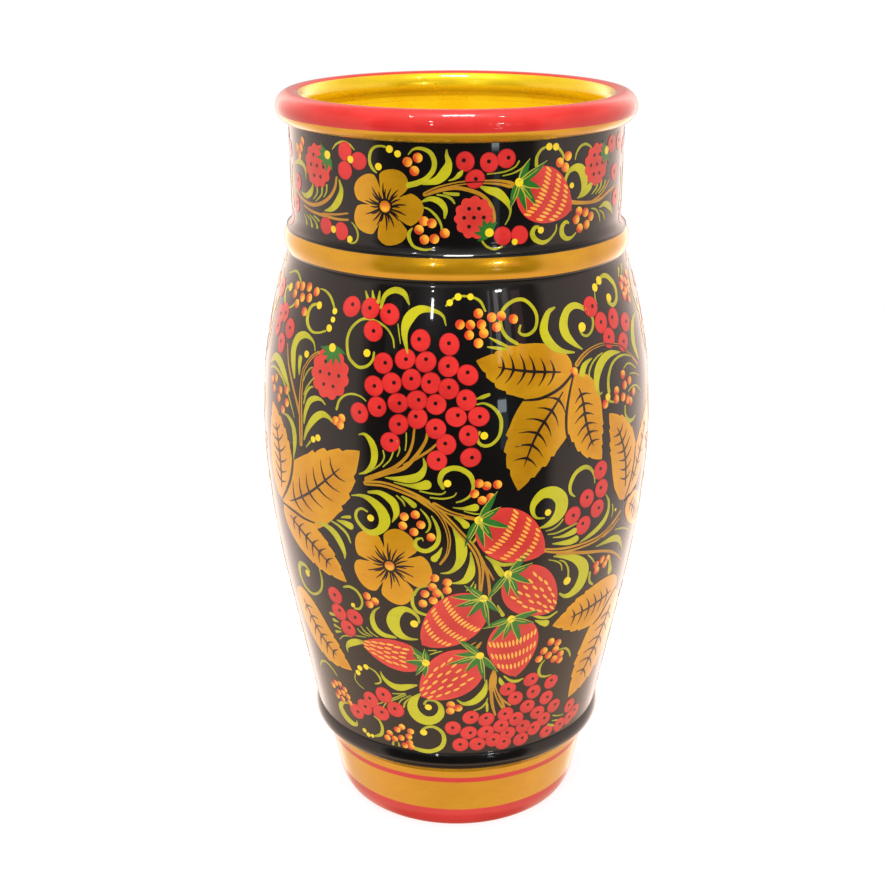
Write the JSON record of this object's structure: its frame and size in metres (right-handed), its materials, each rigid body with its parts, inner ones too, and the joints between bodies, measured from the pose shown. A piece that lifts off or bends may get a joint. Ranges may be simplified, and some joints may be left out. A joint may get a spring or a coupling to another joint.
{
  "type": "lacquered barrel vase",
  "caption": "Tall barrel-shaped turned wooden vase with a straight neck, round rim, beaded rings and a tapered foot, lacquered black and gold with berries, leaves and flowers.",
  "frame": {"origin": "centre of the standing face, at the bottom of the foot", "axes": "+Z is the axis of the vase, pointing up out of the mouth; the painted front looks along -Y and +X is to its right"},
  "size_m": [0.1586, 0.1586, 0.3],
  "materials": {
    "red_lacquer": "red oil paint under clear baked varnish",
    "gilt_lacquer": "tinned ground turned gold by heated clear varnish",
    "black_lacquer": "black ground under clear baked varnish",
    "foot_lacquer": "gold with red bands under clear baked varnish",
    "paint_red": "thin red brushwork",
    "paint_gold": "thin gold brushwork",
    "paint_green": "thin green brushwork",
    "paint_yellow": "thin yellow dots and dashes",
    "paint_dark": "thin dark veins and dots"
  },
  "bodies": {
    "root": {"bottom_disc": "gilt_lacquer", "foot_section": "foot_lacquer", "lower_ring": "black_lacquer", "barrel_section": "black_lacquer", "shoulder_ring": "gilt_lacquer", "neck_section": "black_lacquer", "rim_ring": "red_lacquer"}
  },
  "joints": []
}
